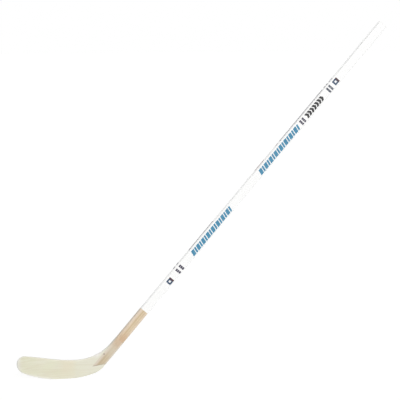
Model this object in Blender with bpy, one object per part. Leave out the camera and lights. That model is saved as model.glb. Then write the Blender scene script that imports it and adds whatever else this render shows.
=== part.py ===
# Laminated wooden ice hockey stick.
# It stands on its sole in the playing position: toe towards -X, shaft rising towards +X,
# wide front face towards -Y. The origin is the middle of the flat stretch of the sole.
# Lengths are metres. Outline points are (x, z) pairs in the plane of the stick.
import bpy
import bmesh
from math import atan2, cos, pi, radians, sin, sqrt, tan
from mathutils import Vector

# Shaft
LIE = radians(49.5)
SHAFT_WIDTH = 0.030
SHAFT_DEPTH = 0.020
CORNER = 0.0035
FOOT_X = 0.0804
BUTT_U = 1.558
BUTT_EDGE = 0.0012

# Plies, counted from the shaft's middle plane outwards
GLUE = 0.0003
CENTRE_PLY = 0.0020
FACE_PLY = 0.0014
FACING = 0.0005

# Planed lower end: the shaft's depth runs down to the blade's between these stations
PLANE_LOW_U = 0.050
PLANE_HIGH_U = 0.212
BLADE_DEPTH_HEEL = 0.0096
BLADE_DEPTH_TOE = 0.0052

# Tongue of the blade's middle ply, glued in the shaft's slot
CORE_SHARE = 0.52
TONGUE_ROOT_U = 0.056
TONGUE_U = 0.150
TONGUE_TIP_DEPTH = 0.0030
TONGUE_POINT = 0.015

# Slanted splice where the shaft's cheeks end on the blade
SPLICE_U = 0.0594
SPLICE_SLOPE = 1.349

# Fibreglass sleeve
SLEEVE_WALL = 0.0007
SLEEVE_EDGE_WALL = 0.0004
SLEEVE_U = 0.165
SLEEVE_FEATHER = 0.018

# Blade outline, at the outside of the sleeve
SOLE_FLAT_TOE = -0.0124
SOLE_FLAT_HEEL = 0.015
TOE_ROCKER = 0.280
HEEL_ROCKER = 0.255
HEEL_ROUND = 0.075
TOE_X = -0.1610
TOE_Z = 0.0662
TOE_LOW_ROUND = 0.040
TOE_TOP_ROUND = 0.023
TOP_SLOPE = radians(11.6)
TOP_Z = 0.0625
TOP_ROUND = 0.420
FILLET = 0.165

# Wedge in the corner of blade and shaft: how thick its thin ends are
WEDGE_EDGE = 0.0008

# Hook of the blade
HOOK_START_X = 0.055
HOOK_DEPTH = 0.041
HOOK_POWER = 2.4

WOOD = SLEEVE_WALL + GLUE
TONGUE_SPAN = SHAFT_WIDTH * 0.6
ALONG = Vector((cos(LIE), 0, sin(LIE)))
ACROSS = Vector((sin(LIE), 0, -cos(LIE)))
FOOT = Vector((FOOT_X, 0, 0))
BLADE_END_X = 0.060
SLICE = 0.0125
CLEAR = 0.05
PLANE_STEPS = 13
FRONT = -1
BACK = 1


# Stations on the stick

def point(u, t):
    """The (x, z) point u along the shaft's centre line from its foot, and t across it."""
    p = FOOT + ALONG * u + ACROSS * t
    return (p.x, p.z)


def station(x, z):
    """How far along the shaft the point lies, and how far across it."""
    p = Vector((x, 0, z)) - FOOT
    return p.dot(ALONG), p.dot(ACROSS)


def splice_u(t):
    return SPLICE_U + SPLICE_SLOPE * t


def share(value, low, high):
    return min(1.0, max(0.0, (value - low) / (high - low)))


def half_depth(x, z):
    """Half the wood's thickness: full in the shaft, planed to the blade's, thinnest at the toe."""
    s = share(station(x, z)[0], PLANE_LOW_U, PLANE_HIGH_U)
    shaft = BLADE_DEPTH_HEEL + (SHAFT_DEPTH - BLADE_DEPTH_HEEL) * s * s * (3 - 2 * s)
    toe = (BLADE_DEPTH_HEEL - BLADE_DEPTH_TOE) * share(-x, -BLADE_END_X, -TOE_X)
    return (shaft - toe) / 2


def core_half_depth(x, z):
    """Half the thickness of the blade's middle ply: it thins towards the tongue's tip and the toe."""
    root = CORE_SHARE * BLADE_DEPTH_HEEL
    tip = (root - TONGUE_TIP_DEPTH) * share(station(x, z)[0], TONGUE_ROOT_U, TONGUE_U)
    toe = CORE_SHARE * (BLADE_DEPTH_HEEL - BLADE_DEPTH_TOE) * share(-x, -BLADE_END_X, -TOE_X)
    return (root - tip - toe) / 2


def planed_u(depth):
    """The station where the planed shaft is still this deep."""
    low, high = PLANE_LOW_U, PLANE_HIGH_U
    for _ in range(40):
        middle = (low + high) / 2
        if 2 * half_depth(*point(middle, 0)) < depth:
            low = middle
        else:
            high = middle
    return high


# Outline of the stick, at a depth below the outside of the sleeve

def arc(centre, radius, start, end, count):
    turns = [start + (end - start) * i / count for i in range(count + 1)]
    return [(centre[0] + radius * cos(a), centre[1] + radius * sin(a)) for a in turns]


def toe_rocker_angle():
    """Direction in which the sole's toe rocker meets the toe's lower round."""
    low_centre = (TOE_X + TOE_LOW_ROUND, TOE_Z)
    return atan2(low_centre[1] - TOE_ROCKER, low_centre[0] - SOLE_FLAT_TOE)


def heel_centre():
    """Centre of the heel's round, touching the shaft's lower edge and the heel rocker."""
    t = SHAFT_WIDTH / 2 + WOOD - HEEL_ROUND
    base = Vector((FOOT_X + t * sin(LIE) - SOLE_FLAT_HEEL, -t * cos(LIE) - HEEL_ROCKER))
    along = Vector((cos(LIE), sin(LIE)))
    b = base.dot(along)
    c = base.dot(base) - (HEEL_ROCKER - HEEL_ROUND) ** 2
    return point(-b - sqrt(b * b - c), t)


def fillet_centre():
    """Centre of the fillet, which touches the shaft's upper edge and the lowest part of the top."""
    z = TOP_Z + FILLET
    t = SHAFT_WIDTH / 2 + WOOD + FILLET
    return (FOOT_X + (z * cos(LIE) - t) / sin(LIE), z)


def blade_lower_edge(depth):
    """From the heel's round along the sole to the toe."""
    centre = heel_centre()
    turn = atan2(centre[1] - HEEL_ROCKER, centre[0] - SOLE_FLAT_HEEL)
    toe_turn = toe_rocker_angle()
    out = arc(centre, HEEL_ROUND - depth, LIE - pi / 2, turn, 4)
    out += arc((SOLE_FLAT_HEEL, HEEL_ROCKER), HEEL_ROCKER - depth, turn, -pi / 2, 6)[1:]
    out += arc((SOLE_FLAT_TOE, TOE_ROCKER), TOE_ROCKER - depth, -pi / 2, toe_turn, 8)
    toe = (TOE_X + TOE_LOW_ROUND, TOE_Z)
    return out + arc(toe, TOE_LOW_ROUND - depth, toe_turn, -pi, 6)[1:]


def blade_upper_edge(depth):
    """From the toe along the blade's top and up its fillet to the shaft."""
    toe = (TOE_X + TOE_TOP_ROUND, TOE_Z)
    out = arc(toe, TOE_TOP_ROUND - depth, pi, pi / 2 - TOP_SLOPE, 9)[1:]
    fillet = fillet_centre()
    top = (fillet[0], TOP_Z + TOP_ROUND)
    out += arc(top, TOP_ROUND + depth, -pi / 2 - TOP_SLOPE, -pi / 2, 5)
    return out + arc(fillet, FILLET + depth, -pi / 2, LIE - pi / 2, 9)[1:]


def outline(depth, end_u, edge, end_inset):
    """The whole closed outline, with the shaft cut square at end_u and its two corners broken."""
    t = SHAFT_WIDTH / 2 + WOOD - depth
    u = end_u - end_inset
    end = [point(u - edge, -t), point(u, edge - t), point(u, t - edge), point(u - edge, t)]
    return blade_lower_edge(depth) + blade_upper_edge(depth) + end


# Meshes

def bent(x, y, z):
    """Bends a point with the blade's hook, which curves towards the front."""
    reach = max(0.0, HOOK_START_X - x)
    length = HOOK_START_X - TOE_X
    middle = -HOOK_DEPTH * (reach / length) ** HOOK_POWER
    slope = HOOK_POWER * HOOK_DEPTH / length * (reach / length) ** (HOOK_POWER - 1)
    norm = sqrt(1 + slope * slope)
    return Vector((x - y * slope / norm, middle + y / norm, z))


def blade_cuts(start):
    """Upright cutting planes across the blade, from a starting place to the toe."""
    count = int((start - TOE_X) / SLICE)
    return [(Vector((start - SLICE * i, 0, 0)), Vector((1, 0, 0))) for i in range(count + 1)]


def body_cuts():
    """The lines on which the wood's thickness or hook changes."""
    step = (PLANE_HIGH_U - PLANE_LOW_U) / PLANE_STEPS
    shaft = [(FOOT + ALONG * (PLANE_LOW_U + step * i), ALONG) for i in range(PLANE_STEPS + 1)]
    return blade_cuts(BLADE_END_X) + shaft


def ply_cuts():
    """The lines on which the plies' inner faces change; none lies on a line of the body."""
    return blade_cuts(BLADE_END_X - SLICE / 2) + [(FOOT + ALONG * TONGUE_ROOT_U, ALONG)]


def mesh_of(name, bm, depth_at, cuts):
    """Cuts the mesh along the given lines, gives it its real thickness and bends it."""
    for place, normal in cuts:
        geometry = bm.verts[:] + bm.edges[:] + bm.faces[:]
        bmesh.ops.bisect_plane(bm, geom=geometry, plane_co=place, plane_no=normal, dist=1e-6)
    for v in bm.verts:
        v.co = bent(v.co.x, depth_at(v.co.x, v.co.y, v.co.z), v.co.z)
    bmesh.ops.recalc_face_normals(bm, faces=bm.faces[:])
    if bm.calc_volume(signed=True) < 0:
        bmesh.ops.reverse_faces(bm, faces=bm.faces[:])
    mesh = bpy.data.meshes.new(name)
    bm.to_mesh(mesh)
    bm.free()
    mesh.shade_smooth()
    mesh.set_sharp_from_angle(angle=radians(32))
    return mesh


def plate(name, corners, depth_at, cuts=()):
    """A flat plate between y = -1 and y = 1, which depth_at then sets."""
    bm = bmesh.new()
    face = bm.faces.new([bm.verts.new((x, -1, z)) for x, z in corners])
    far = bmesh.ops.extrude_face_region(bm, geom=[face])["geom"]
    far = [v for v in far if isinstance(v, bmesh.types.BMVert)]
    bmesh.ops.translate(bm, verts=far, vec=(0, 2, 0))
    return mesh_of(name, bm, depth_at, cuts)


def rounded_slab(name, depth, end_u, edge):
    """The stick's solid at a depth below the sleeve's outside, lofted with its edges rounded."""
    corner = CORNER + WOOD - depth
    steps = [radians(a) for a in (90, 60, 30, 0)]
    rings = [(a, FRONT) for a in steps] + [(a, BACK) for a in reversed(steps)]
    bm = bmesh.new()
    loops = []
    for a, side in rings:
        path = outline(depth + corner * (1 - cos(a)), end_u, edge, edge * (1 - cos(a)))
        level = side * (1 - CORNER / (SHAFT_DEPTH / 2) * (1 - sin(a)))
        loops.append([bm.verts.new((x, level, z)) for x, z in path])
    for low, high in zip(loops, loops[1:]):
        for i in range(len(low)):
            bm.faces.new((low[i - 1], low[i], high[i], high[i - 1]))
    bm.faces.new(loops[0])
    bm.faces.new(loops[-1])
    skin = WOOD - depth
    return mesh_of(name, bm, lambda x, y, z: y * (half_depth(x, z) + skin), body_cuts())


# Scene

def collection(name):
    made = bpy.data.collections.new(name)
    bpy.context.scene.collection.children.link(made)
    return made


def material(name, colour, roughness, coat):
    made = bpy.data.materials.new(name)
    made.use_nodes = True
    shader = made.node_tree.nodes["Principled BSDF"]
    shader.inputs["Base Color"].default_value = (*colour, 1)
    shader.inputs["Roughness"].default_value = roughness
    shader.inputs["Metallic"].default_value = 0
    shader.inputs["Coat Weight"].default_value = coat
    return made


def cutter(name, mesh):
    obj = bpy.data.objects.new(name, mesh)
    CUTTERS.objects.link(obj)
    obj.hide_render = True
    obj.display_type = "WIRE"
    return obj


def piece(name, mesh, look):
    obj = bpy.data.objects.new(name, mesh)
    STICK.objects.link(obj)
    obj.data.materials.clear()
    obj.data.materials.append(look)
    return obj


def trim(obj, tool, operation):
    cut = obj.modifiers.new(tool.name, "BOOLEAN")
    cut.operation = operation
    cut.object = tool
    cut.solver = "EXACT"


# Cutters

def wood_body():
    return cutter("wood_body", rounded_slab("wood_body", WOOD, BUTT_U, BUTT_EDGE))


def slot_cutter():
    """The slot for the tongue, one glue line wider all round."""
    corners = [point(-CLEAR, -TONGUE_SPAN)] + [point(u, t) for u, t in tongue_end(GLUE)]
    corners += [point(-CLEAR, TONGUE_SPAN)]
    mesh = plate("slot", corners, lambda x, y, z: y * (core_half_depth(x, z) + GLUE), ply_cuts())
    return cutter("slot", mesh)


def wedge_outline(gap):
    """The wedge from above: flat on the blade's top edge and on the shaft's upper side."""
    centre = fillet_centre()
    reach = sqrt(2 * (FILLET + WOOD) * (WEDGE_EDGE + GLUE))
    t = gap - GLUE - SHAFT_WIDTH / 2
    z = TOP_Z - WOOD + GLUE - gap
    toe_x = centre[0] + reach - gap
    top_u = station(*centre)[0] - reach + gap
    corner = point((z + t * cos(LIE)) / sin(LIE), t)
    return [(toe_x, z), corner, point(top_u, t), point(top_u, t - CLEAR), (toe_x, z + CLEAR)]


def splice_cutter():
    """Takes off the shaft's lower end: along the slanted splice and straight up beside the wedge."""
    side = -SHAFT_WIDTH / 2
    top_u = station(*wedge_outline(GLUE)[2])[0]
    corners = [point(splice_u(TONGUE_SPAN), TONGUE_SPAN), point(splice_u(side), side)]
    corners += [point(top_u, side), point(top_u, -CLEAR)]
    corners += [point(-CLEAR, -CLEAR), point(-CLEAR, TONGUE_SPAN)]
    return cutter("splice", plate("splice", corners, lambda x, y, z: y * SHAFT_DEPTH))


def seat_cutter():
    """The wedge's seat on the blade and the shaft, one glue line larger than the wedge."""
    mesh = plate("wedge_seat", wedge_outline(GLUE), lambda x, y, z: y * SHAFT_DEPTH)
    return cutter("wedge_seat", mesh)


# Shaft plies

def shaft_ply(name, look, side, inner, outer, low_u, tools):
    """One ply of the shaft between two depths from its middle plane, cut to the wood's body."""
    length = BUTT_U + 0.01 - low_u
    middle = low_u + length / 2
    x, z = point(middle, 0)
    bpy.ops.mesh.primitive_cube_add(size=1, location=(x, side * (inner + outer) / 2, z))
    obj = bpy.context.object
    obj.name = name
    obj.data.name = name
    obj.scale = (length, outer - inner, SHAFT_WIDTH * 1.2)
    bpy.ops.object.transform_apply(location=False, rotation=False, scale=True)
    obj.rotation_euler = (0, -LIE, 0)
    for home in list(obj.users_collection):
        home.objects.unlink(obj)
    STICK.objects.link(obj)
    obj.data.materials.append(look)
    trim(obj, WOOD_BODY, "INTERSECT")
    for tool in tools:
        trim(obj, tool, "DIFFERENCE")
    return obj


def shaft():
    """Centre ply, two core strips, two face plies and two facings, glued flat on one another."""
    core_in = CENTRE_PLY / 2 + GLUE
    facing_in = SHAFT_DEPTH / 2 - FACING
    ply_in = facing_in - GLUE - FACE_PLY
    core_out = ply_in - GLUE
    low = splice_u(-SHAFT_WIDTH / 2) - 0.01
    tip = TONGUE_U - TONGUE_POINT
    shaft_ply("shaft_centre_ply", BIRCH, FRONT, -CENTRE_PLY / 2, CENTRE_PLY / 2, tip, [SLOT])
    for side, name in ((FRONT, "front"), (BACK, "back")):
        shaft_ply(f"shaft_core_{name}", ASPEN, side, core_in, core_out, low, [SPLICE, SLOT])
        end = planed_u(2 * (ply_in + GLUE))
        shaft_ply(f"shaft_ply_{name}", BIRCH, side, ply_in, ply_in + FACE_PLY, end, [])
        end = planed_u(2 * (facing_in + GLUE))
        shaft_ply(f"shaft_facing_{name}", FACING_GLASS, side, facing_in, SHAFT_DEPTH / 2 + 0.001, end, [])


# Blade

def tongue_end(gap):
    """The tongue's pointed tip, as (u, t) pairs from its upper side to its lower side."""
    tip = TONGUE_U + gap
    flat = SHAFT_WIDTH / 6
    return [(tip - TONGUE_POINT, -TONGUE_SPAN), (tip, -flat), (tip, flat), (tip - TONGUE_POINT, TONGUE_SPAN)]


def blade_board(corners):
    """The outline round the blade, from below the heel past the toe to above the fillet."""
    left = TOE_X - CLEAR
    return [(left, -CLEAR), (left, TOP_Z + CLEAR), (fillet_centre()[0], TOP_Z + CLEAR)] + corners


def blade_core():
    """Middle ply: the whole blade board and, in one piece with it, the tongue."""
    corners = blade_board([point(u, t) for u, t in tongue_end(0)] + [point(-CLEAR, TONGUE_SPAN)])
    mesh = plate("blade_core", corners, lambda x, y, z: y * core_half_depth(x, z), ply_cuts())
    core = piece("blade_core", mesh, ASH)
    trim(core, WOOD_BODY, "INTERSECT")
    trim(core, SEAT, "DIFFERENCE")


def blade_face(name, side):
    """Outer ply of the blade, ending on the shaft's cheek along the splice."""
    t = -SHAFT_WIDTH / 2 - GLUE
    slant = GLUE * sqrt(1 + SPLICE_SLOPE * SPLICE_SLOPE)
    corner_u = station(*wedge_outline(0)[1])[0]
    corners = [point(corner_u + WOOD, t), point(splice_u(t) - slant, t)]
    corners += [point(splice_u(TONGUE_SPAN) - slant, TONGUE_SPAN), point(-CLEAR, TONGUE_SPAN)]

    def depth_at(x, y, z):
        inner = core_half_depth(x, z) + GLUE
        return side * (inner if y < 0 else SHAFT_DEPTH / 2)

    mesh = plate(name, blade_board(corners), depth_at, ply_cuts())
    face = piece(name, mesh, ASH)
    trim(face, WOOD_BODY, "INTERSECT")
    trim(face, SEAT, "DIFFERENCE")


def heel_wedge():
    """Fillet block in the corner of the blade's top edge and the shaft's upper side."""
    mesh = plate("heel_wedge", wedge_outline(0), lambda x, y, z: y * SHAFT_DEPTH)
    trim(piece("heel_wedge", mesh, ASH), WOOD_BODY, "INTERSECT")


def blade_sleeve():
    """Fibreglass sock over blade and heel: outer skin less inner skin, feathered at its open end."""
    mesh = rounded_slab("blade_sleeve", 0, SLEEVE_U, SLEEVE_EDGE_WALL)
    for v in mesh.vertices:
        u, t = station(v.co.x, v.co.z)
        thin = (SLEEVE_WALL - SLEEVE_EDGE_WALL) * share(u, SLEEVE_U - SLEEVE_FEATHER, SLEEVE_U)
        width = SHAFT_WIDTH / 2 + WOOD
        depth = half_depth(v.co.x, v.co.z) + WOOD
        v.co += ACROSS * (-t * thin / width)
        v.co.y *= 1 - thin / depth
    end = SLEEVE_U + 0.01
    inner = rounded_slab("sleeve_inside", SLEEVE_WALL, end, SLEEVE_EDGE_WALL)
    inside = cutter("sleeve_inside", inner)
    trim(piece("blade_sleeve", mesh, FIBREGLASS), inside, "DIFFERENCE")


for old in list(bpy.data.objects):
    bpy.data.objects.remove(old, do_unlink=True)

STICK = collection("hockey_stick")
CUTTERS = collection("cutters")
ASPEN = material("aspen", (0.62, 0.50, 0.34), 0.55, 0)
BIRCH = material("birch", (0.60, 0.45, 0.29), 0.50, 0)
ASH = material("ash", (0.70, 0.62, 0.44), 0.50, 0)
FACING_GLASS = material("glass_facing", (0.90, 0.90, 0.89), 0.30, 0.5)
FIBREGLASS = material("fibreglass", (0.72, 0.69, 0.53), 0.35, 0.4)

WOOD_BODY = wood_body()
SLOT = slot_cutter()
SPLICE = splice_cutter()
SEAT = seat_cutter()
shaft()
blade_core()
blade_face("blade_face_front", FRONT)
blade_face("blade_face_back", BACK)
heel_wedge()
blade_sleeve()
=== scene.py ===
# %% [markdown]
# # A laminated wooden hockey stick
#
# The stick's plies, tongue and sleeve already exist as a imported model. This
# script dresses that model: it gives the bare wood its grain, pulls the
# glass-cloth sock over the blade, lacquers the shaft white and prints the
# coloured marks on it. Each step says what the thing is on a real stick, and
# which Blender tool makes it.

from math import atan2, cos, degrees, pi, radians, sin, sqrt

import bmesh
import bpy
from mathutils import Matrix, Vector


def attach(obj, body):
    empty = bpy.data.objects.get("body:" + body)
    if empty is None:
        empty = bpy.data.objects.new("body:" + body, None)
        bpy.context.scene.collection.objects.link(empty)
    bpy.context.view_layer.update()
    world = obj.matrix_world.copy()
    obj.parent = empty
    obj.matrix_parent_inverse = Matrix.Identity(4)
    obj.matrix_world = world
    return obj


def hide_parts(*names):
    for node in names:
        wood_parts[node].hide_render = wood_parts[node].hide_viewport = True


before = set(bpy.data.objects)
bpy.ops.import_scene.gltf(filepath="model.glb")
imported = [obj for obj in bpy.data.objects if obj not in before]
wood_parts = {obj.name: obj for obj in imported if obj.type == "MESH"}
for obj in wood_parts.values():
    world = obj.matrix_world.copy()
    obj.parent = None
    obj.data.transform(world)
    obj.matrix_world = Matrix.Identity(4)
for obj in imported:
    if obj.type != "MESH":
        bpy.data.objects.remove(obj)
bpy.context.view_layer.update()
print("Pieces in the model:", ", ".join(sorted(wood_parts)))

# %% [markdown]
# ## The stick's own measures
#
# A maker measures a stick along the middle of its shaft. So most places here
# are two numbers: how far up the shaft's centre line from the ground, and how
# far across it. One matrix turns those into the room's X, Y and Z. In the
# stick's own axes X runs up the shaft, Y from the front face to the back face,
# and Z towards the shaft's upper narrow side.

# %% Measures and the stick's own axes
MM = 0.001
LIE = radians(49.5)
FOOT = Vector((80.4 * MM, 0, 0))
SHAFT_WIDTH = 30 * MM
SHAFT_DEPTH = 20 * MM
CORNER = 3.5 * MM
BUTT = 1558 * MM
BUTT_EDGE = 1.2 * MM
STICK_AXES = Matrix.Translation(FOOT) @ Matrix.Rotation(-LIE, 4, "Y")
ALONG = STICK_AXES.to_3x3() @ Vector((1, 0, 0))
ACROSS = STICK_AXES.to_3x3() @ Vector((0, 0, -1))


def station(x, z):
    """How far up the shaft a point of the room lies, and how far across it."""
    from_foot = Vector((x, 0, z)) - FOOT
    return from_foot.dot(ALONG), from_foot.dot(ACROSS)


def on_stick(u, t):
    """The room's place of a point u up the shaft and t across it, in the middle plane."""
    return FOOT + ALONG * u + ACROSS * t


print(f"Shaft rises at {degrees(LIE):.1f} degrees and ends {on_stick(BUTT, 0).z:.3f} m up")

# %% [markdown]
# ## The camera
#
# The picture was taken with a long lens, from a little to the left and a little
# above. A long lens keeps the two ends of a long stick at nearly the same
# scale, so the camera stands 5 m off. Aiming is simple with a tracking
# quaternion: it turns the camera's -Z axis along a direction and keeps its Y
# axis upright. The picture leans by a tenth of a degree, so the camera is
# rolled by that much.


# %% Place the camera
def direction(azimuth, elevation):
    """Unit vector from the stick towards a compass direction: 0 is the front, 90 the right."""
    a, e = radians(azimuth), radians(elevation)
    return Vector((sin(a) * cos(e), -cos(a) * cos(e), sin(e)))


LOOK_AT = Vector((0.4644, 0, 0.5976))
AZIMUTH, ELEVATION, DISTANCE = -9.3, 7.65, 5.066
ROLL = radians(-0.1)
lens = bpy.data.cameras.new("long_lens")
lens.lens = 135
lens.sensor_width = 36
camera = bpy.data.objects.new("camera", lens)
camera.location = LOOK_AT + direction(AZIMUTH, ELEVATION) * DISTANCE
camera.rotation_euler = (LOOK_AT - camera.location).to_track_quat("-Z", "Y").to_euler()
camera.rotation_euler.rotate_axis("Z", ROLL)
bpy.context.scene.collection.objects.link(camera)
bpy.context.scene.camera = camera
print("Camera at", [round(c, 3) for c in camera.location])

# %% [markdown]
# ## Light
#
# A white product picture has very soft light from all round, a little stronger
# from one side so that edges still read. Here a pale world lights all round,
# and two wide suns give the direction. A sun's angle is its apparent width:
# wide suns have soft shadows. At these strengths a surface that faces the
# camera shows about the colour it was given.


# %% Hang the lamps
def soft_sun(name, azimuth, elevation, strength, width):
    light = bpy.data.lights.new(name, "SUN")
    light.energy = strength
    light.angle = radians(width)
    lamp = bpy.data.objects.new(name, light)
    lamp.rotation_euler = direction(azimuth, elevation).to_track_quat("Z", "Y").to_euler()
    bpy.context.scene.collection.objects.link(lamp)
    print(f"{name}: a sun {width} degrees wide, of strength {strength}")


soft_sun("key", azimuth=15, elevation=20, strength=1.56, width=40)
soft_sun("fill", azimuth=205, elevation=35, strength=0.5, width=60)
bpy.context.scene.view_settings.view_transform = "Standard"

# %% [markdown]
# ## A small kit for materials
#
# The world, the floor and all finishes are built from the same few nodes. These
# helpers add those nodes and return their output, so that a material reads
# like a recipe. A value may be a plain number or the output of another node.


# %% Helpers for numbers
def wire(tree, value, socket):
    """Joins an output to a socket, or writes a plain value into it."""
    if isinstance(value, bpy.types.NodeSocket):
        tree.links.new(value, socket)
    elif isinstance(value, tuple) and len(value) == 3 and socket.type == "RGBA":
        socket.default_value = (*value, 1)
    else:
        socket.default_value = value


def maths(tree, how, a, b=0.0):
    step = tree.nodes.new("ShaderNodeMath")
    step.operation = how
    wire(tree, a, step.inputs[0])
    wire(tree, b, step.inputs[1])
    return step.outputs[0]


def product(tree, first, *others):
    """Multiplies shares, so that the result is full only where all of them are."""
    for other in others:
        first = maths(tree, "MULTIPLY", first, other)
    return first


def fade(tree, value, low, high, start=0.0, end=1.0):
    """Runs smoothly from start to end while value runs from low to high."""
    step = tree.nodes.new("ShaderNodeMapRange")
    step.interpolation_type = "SMOOTHSTEP"
    wire(tree, value, step.inputs["Value"])
    for name, number in (("From Min", low), ("From Max", high), ("To Min", start), ("To Max", end)):
        step.inputs[name].default_value = number
    return step.outputs[0]


print("Helpers for numbers: wire, maths, product and fade")


# %% Helpers for colours
def blend(tree, amount, first, second):
    """Mixes two colours."""
    step = tree.nodes.new("ShaderNodeMix")
    step.data_type = "RGBA"
    wire(tree, amount, step.inputs["Factor"])
    wire(tree, first, step.inputs[6])
    wire(tree, second, step.inputs[7])
    return step.outputs[2]


def srgb(red, green, blue):
    """A colour as a picture editor shows it, 0 to 255, in the linear values that shaders take."""
    parts = [c / 255 for c in (red, green, blue)]
    return tuple(c / 12.92 if c <= 0.04045 else ((c + 0.055) / 1.055) ** 2.4 for c in parts)


print("Middle grey, as shaders take it:", [round(c, 3) for c in srgb(128, 128, 128)])

# %% [markdown]
# ## A world that is brighter to look at than to be lit by
#
# The backdrop should be pure white, but a world of full strength would wash
# the stick out. The Light Path node tells what kind of ray is asking. Camera
# rays, mirror-like rays and rays through glass get full white, and the rays
# that light the stick get less than half of it.

# %% Colour the world
WORLD_LIGHT = 0.445


def seen_rays(tree):
    """1 for the rays of the camera, of mirrors and of glass, and 0 for those that carry light."""
    ray = tree.nodes.new("ShaderNodeLightPath").outputs
    gloss_or_glass = maths(tree, "MAXIMUM", ray["Is Glossy Ray"], ray["Is Transmission Ray"])
    return maths(tree, "MAXIMUM", ray["Is Camera Ray"], gloss_or_glass)


room = bpy.data.worlds.new("pale_room")
room.use_nodes = True
bpy.context.scene.world = room
tree = room.node_tree
backdrop = tree.nodes["Background"].inputs
backdrop["Color"].default_value = (1, 1, 1, 1)
tree.links.new(fade(tree, seen_rays(tree), 0.0, 1.0, start=WORLD_LIGHT), backdrop["Strength"])
print("The world shows white, and lights the stick at", WORLD_LIGHT)

# %% [markdown]
# ## The floor
#
# The stick stands on its sole on a white floor. Over half of what the camera
# sees of it is its own white glow, and the rest is ordinary paint that takes
# the stick's shadow. So it melts into the backdrop, and a faint shadow still
# says where the blade rests.

# %% Lay the floor
FLOOR_HALF, FLOOR_DROP = 30.0, 0.2 * MM
floor_mesh = bpy.data.meshes.new("floor")
bm = bmesh.new()
bmesh.ops.create_grid(bm, x_segments=1, y_segments=1, size=FLOOR_HALF)
bmesh.ops.translate(bm, verts=bm.verts, vec=(0, 0, -FLOOR_DROP))
bm.to_mesh(floor_mesh)
bm.free()
floor = bpy.data.objects.new("floor", floor_mesh)
bpy.context.scene.collection.objects.link(floor)
print("Floor lies at", floor_mesh.vertices[0].co.z)

# %% Paint the floor
PAINT, GLOW, GLOW_SHARE = (0.9, 0.9, 0.9, 1), 1.3, 0.6
floor_paint = bpy.data.materials.new("floor_paint")
floor_paint.use_nodes = True
tree = floor_paint.node_tree
tree.nodes.remove(tree.nodes["Principled BSDF"])
paint = tree.nodes.new("ShaderNodeBsdfDiffuse")
paint.inputs["Color"].default_value = PAINT
glow = tree.nodes.new("ShaderNodeEmission")
glow.inputs["Strength"].default_value = GLOW
mix = tree.nodes.new("ShaderNodeMixShader")
tree.links.new(product(tree, seen_rays(tree), GLOW_SHARE), mix.inputs["Fac"])
tree.links.new(paint.outputs[0], mix.inputs[1])
tree.links.new(glow.outputs[0], mix.inputs[2])
tree.links.new(mix.outputs[0], tree.nodes["Material Output"].inputs["Surface"])
floor_mesh.materials.append(floor_paint)
print("Share of the floor that glows:", GLOW_SHARE)

# %% [markdown]
# ## Patterns that follow the shaft
#
# Wood grain runs up the shaft, which leans at the lie angle. Object coordinates
# know nothing of that lean, so a Mapping node turns them into the stick's own
# axes. A second Mapping node squeezes the pattern: noise squeezed hard across
# and hardly along turns from clouds into long streaks.


# %% Coordinates
def stick_place(tree):
    """Object coordinates in the stick's own axes: up the shaft, front to back, towards the upper side."""
    place = tree.nodes.new("ShaderNodeTexCoord")
    turn = tree.nodes.new("ShaderNodeMapping")
    turn.inputs["Rotation"].default_value = (0, LIE, 0)
    turn.inputs["Location"].default_value = (-FOOT.x * cos(LIE), 0, FOOT.x * sin(LIE))
    tree.links.new(place.outputs["Object"], turn.inputs["Vector"])
    return turn.outputs["Vector"]


def room_place(tree):
    """Object coordinates as they are: along the blade, front to back, upwards."""
    return tree.nodes.new("ShaderNodeTexCoord").outputs["Object"]


def axes(tree, place):
    """The three numbers of a place."""
    split = tree.nodes.new("ShaderNodeSeparateXYZ")
    tree.links.new(place, split.inputs["Vector"])
    return split.outputs[0], split.outputs[1], split.outputs[2]


print("The grain runs along", [round(c, 3) for c in ALONG])


# %% Noise
def noise(tree, place, stretch, detail=3.0, wobble=0.0, turn=0.0):
    """Noise from 0 to 1 with stretch = its number of blobs per metre along each axis."""
    if turn:
        turned = tree.nodes.new("ShaderNodeMapping")
        turned.inputs["Rotation"].default_value = (0, turn, 0)
        tree.links.new(place, turned.inputs["Vector"])
        place = turned.outputs["Vector"]
    squeeze = tree.nodes.new("ShaderNodeMapping")
    squeeze.inputs["Scale"].default_value = stretch
    tree.links.new(place, squeeze.inputs["Vector"])
    cloud = tree.nodes.new("ShaderNodeTexNoise")
    cloud.inputs["Scale"].default_value = 1.0
    cloud.inputs["Detail"].default_value = detail
    cloud.inputs["Distortion"].default_value = wobble
    tree.links.new(squeeze.outputs["Vector"], cloud.inputs["Vector"])
    return cloud.outputs["Fac"]


print(f"With 35 blobs per metre, a streak is about {1 / 35 / MM:.0f} mm long")

# %% [markdown]
# ## What every finish has
#
# Each finish is one Principled shader. Its colour and roughness come from
# patterns, because no worn surface is equally glossy all over, and a clear
# coat lies on those that are varnished. Bump makes the fibres and the weave
# stand out under the light.


# %% Helpers for finishes
def finish_of(name, coat=0.0, coat_roughness=0.1):
    """A new material, its node tree and its shader."""
    made = bpy.data.materials.new(name)
    made.use_nodes = True
    shader = made.node_tree.nodes["Principled BSDF"]
    shader.inputs["Coat Weight"].default_value = coat
    shader.inputs["Coat Roughness"].default_value = coat_roughness
    return made, made.node_tree, shader


def cover(tree, shader, colour, pattern, glossy, dull):
    """Gives the shader its colour, and a roughness that follows a pattern from glossy to dull."""
    tree.links.new(colour, shader.inputs["Base Color"])
    tree.links.new(fade(tree, pattern, 0.3, 0.7, glossy, dull), shader.inputs["Roughness"])


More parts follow.
